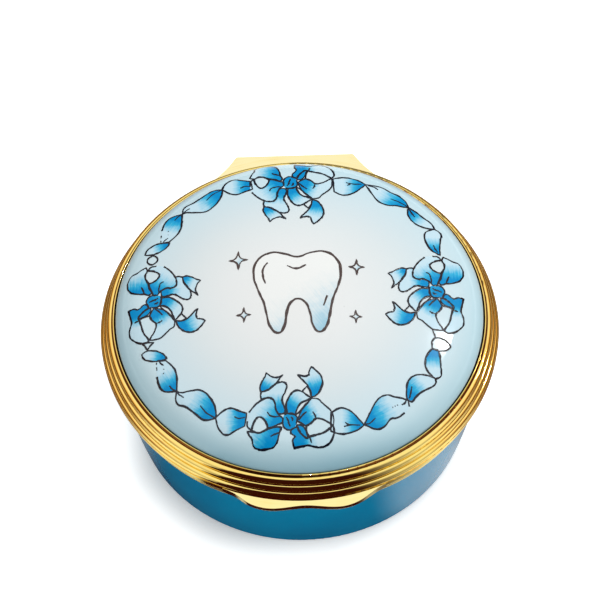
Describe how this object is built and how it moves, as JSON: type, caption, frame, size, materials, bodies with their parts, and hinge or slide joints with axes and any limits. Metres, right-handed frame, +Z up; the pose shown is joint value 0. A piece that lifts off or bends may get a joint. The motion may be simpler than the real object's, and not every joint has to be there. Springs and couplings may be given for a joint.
{
  "type": "baby tooth box",
  "caption": "Small round enamelled keepsake box in reeded gilt mounts, with a domed lid that opens on a knuckle hinge by a bow-shaped thumb lip.",
  "frame": {"origin": "centre of the ring that the bowl stands on, at the bottom", "axes": "+Z up, +Y towards the hinge, -Y towards the thumb lip"},
  "size_m": [0.044, 0.0461, 0.022],
  "materials": {
    "gilt_brass": "polished gilt",
    "hinge_brass": "drawn wire",
    "copper": "pressed copper",
    "bowl_enamel": "glossy enamel",
    "lid_enamel": "glossy enamel",
    "white_enamel": "glossy enamel"
  },
  "bodies": {
    "base": {"base_copper_cup": "copper", "base_outer_enamel": "bowl_enamel", "base_inner_enamel": "white_enamel", "base_underside_enamel": "white_enamel", "base_mount_ring": "gilt_brass", "closing_collar": "gilt_brass", "base_hinge_lug": "gilt_brass", "base_knuckle_left": "gilt_brass", "base_knuckle_middle": "gilt_brass", "base_knuckle_right": "gilt_brass", "hinge_pin": "hinge_brass"},
    "lid": {"lid_copper_dome": "copper", "lid_outer_enamel": "lid_enamel", "lid_inner_enamel": "white_enamel", "lid_mount_ring": "gilt_brass", "thumb_lip": "gilt_brass", "lid_hinge_lug": "gilt_brass", "lid_knuckle_left": "gilt_brass", "lid_knuckle_right": "gilt_brass"}
  },
  "joints": [
    {"name": "lid_hinge", "type": "hinge", "parent": "base", "child": "lid", "pos_m": [0, 0.02232, 0.01395], "axis": [-1, 0, 0], "range_deg": [0, 95]}
  ]
}
